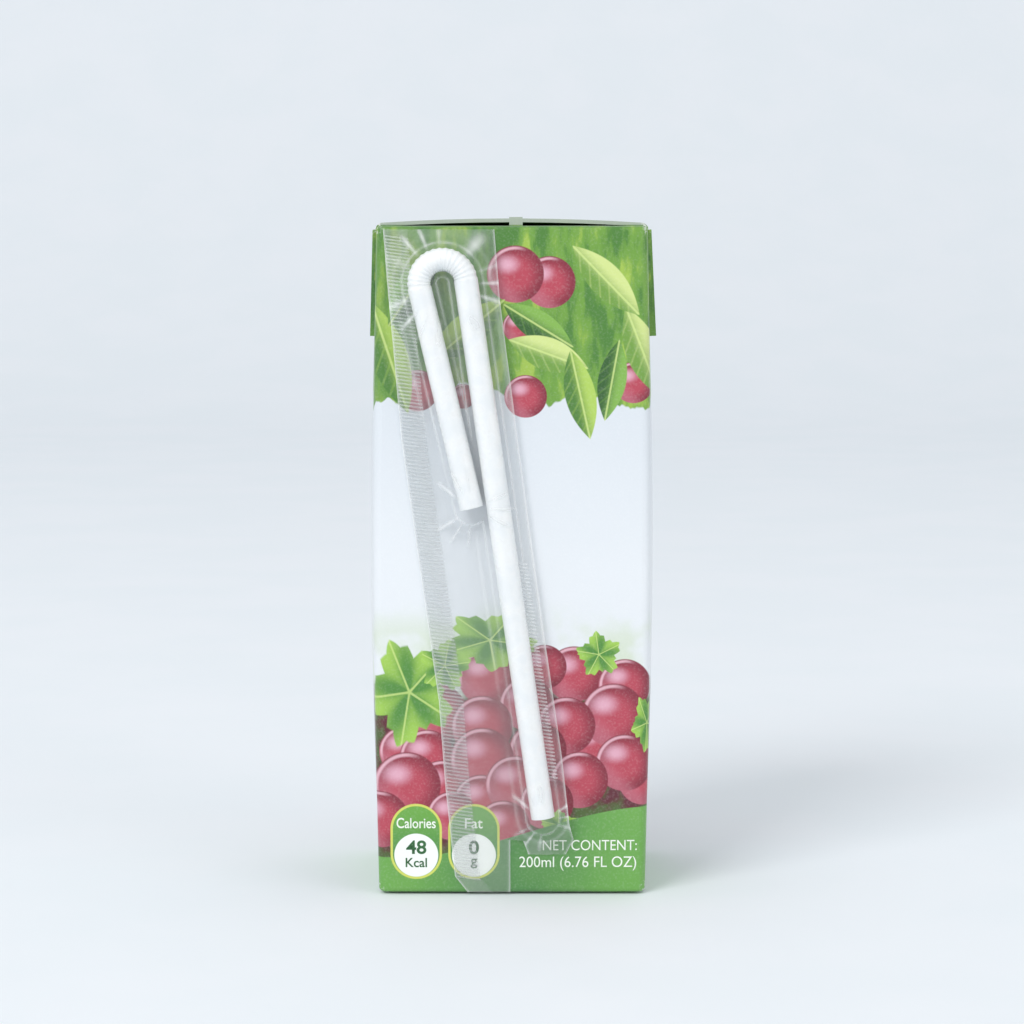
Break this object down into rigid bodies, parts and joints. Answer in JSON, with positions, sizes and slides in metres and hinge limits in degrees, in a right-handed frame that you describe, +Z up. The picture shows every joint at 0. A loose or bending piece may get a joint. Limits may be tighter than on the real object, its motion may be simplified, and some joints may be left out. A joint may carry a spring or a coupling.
{
  "type": "juice carton",
  "caption": "Shut slim drink carton with folded ears and top seal, with a bent straw in a clear film sleeve on its front.",
  "frame": {"origin": "middle of the carton's base, on the surface it stands on", "axes": "+Z up, -Y out of the front panel that carries the straw, +X to the right seen from the front"},
  "size_m": [0.0514, 0.0459, 0.1205],
  "materials": {
    "printed_board": "satin, printed and film coated",
    "straw_plastic": "satin",
    "clear_film": "clear, glossy"
  },
  "bodies": {
    "root": {"carton": "printed_board", "straw": "straw_plastic", "film_sleeve": "clear_film"}
  },
  "joints": []
}
